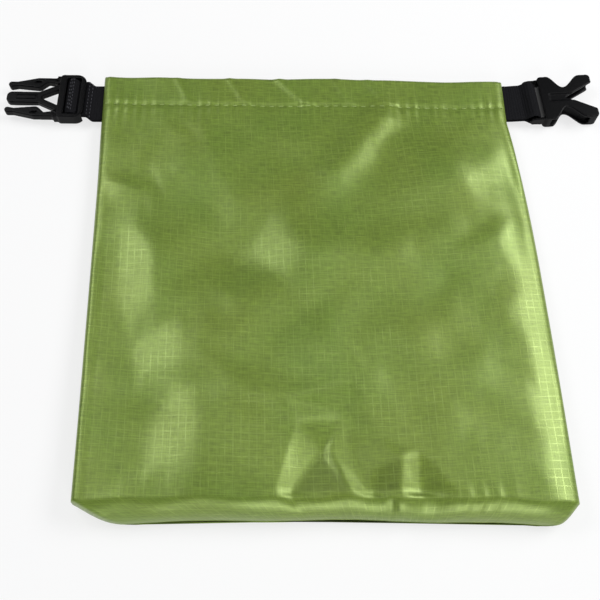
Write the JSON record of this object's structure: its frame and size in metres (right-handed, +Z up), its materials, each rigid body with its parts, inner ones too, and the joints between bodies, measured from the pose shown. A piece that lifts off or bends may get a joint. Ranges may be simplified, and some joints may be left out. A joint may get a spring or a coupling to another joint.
{
  "type": "compression sack",
  "caption": "Flat, empty roll-top compression sack of coated ripstop cloth with a boxed base, a stitched hem and a side-release buckle on webbing tabs at its mouth.",
  "frame": {"origin": "middle of the back panel's face on the table, half way from the base to the mouth", "axes": "+X along the mouth from the plug to the socket, +Y from the base to the mouth, +Z up from the table"},
  "size_m": [0.2706, 0.2037, 0.013],
  "materials": {
    "ripstop_cloth": "coated satin",
    "seam_tape": "matte",
    "stiffener_strip": "matte",
    "black_webbing": "woven matte",
    "black_acetal": "moulded satin"
  },
  "bodies": {
    "sack": {"back_panel": "ripstop_cloth", "front_panel": "ripstop_cloth", "left_side_fold": "ripstop_cloth", "right_side_fold": "ripstop_cloth", "base_panel": "ripstop_cloth", "left_seam_allowance": "seam_tape", "right_seam_allowance": "seam_tape"},
    "roll_band": {"back_lip": "ripstop_cloth", "front_lip": "ripstop_cloth", "left_lip_fold": "ripstop_cloth", "right_lip_fold": "ripstop_cloth", "back_hem_facing": "ripstop_cloth", "front_hem_facing": "ripstop_cloth", "hem_stiffener": "stiffener_strip", "left_webbing_tail": "black_webbing", "right_webbing_tail": "black_webbing"},
    "plug": {"left_webbing": "black_webbing", "plug_frame": "black_acetal"},
    "upper_prong": {"plug_upper_prong": "black_acetal"},
    "lower_prong": {"plug_lower_prong": "black_acetal"},
    "socket_strap": {"right_webbing": "black_webbing"},
    "socket": {"socket_body": "black_acetal"}
  },
  "joints": [
    {"name": "roll_fold", "type": "hinge", "parent": "sack", "child": "roll_band", "pos_m": [0, 0.0725, 0.0072], "axis": [1, 0, 0], "range_deg": [0, 170]},
    {"name": "plug_bend", "type": "hinge", "parent": "roll_band", "child": "plug", "pos_m": [-0.094, 0.0887, 0.0034], "axis": [0, 1, 0], "range_deg": [-80, 50]},
    {"name": "upper_prong_flex", "type": "hinge", "parent": "plug", "child": "upper_prong", "pos_m": [-0.11384, 0.10075, 0.0034], "axis": [0, 0, 1], "range_deg": [0, 6], "stiffness_Nm_per_rad": 0.3},
    {"name": "lower_prong_flex", "type": "hinge", "parent": "plug", "child": "lower_prong", "pos_m": [-0.11416, 0.08235, 0.0034], "axis": [0, 0, -1], "range_deg": [0, 6], "stiffness_Nm_per_rad": 0.3},
    {"name": "socket_bend", "type": "hinge", "parent": "roll_band", "child": "socket_strap", "pos_m": [0.094, 0.0887, 0.0034], "axis": [0, -1, 0], "range_deg": [-80, 50]},
    {"name": "socket_swivel", "type": "hinge", "parent": "socket_strap", "child": "socket", "pos_m": [0.10437, 0.08943, 0.0034], "axis": [0.0698, -0.9976, 0], "range_deg": [-70, 60]}
  ]
}
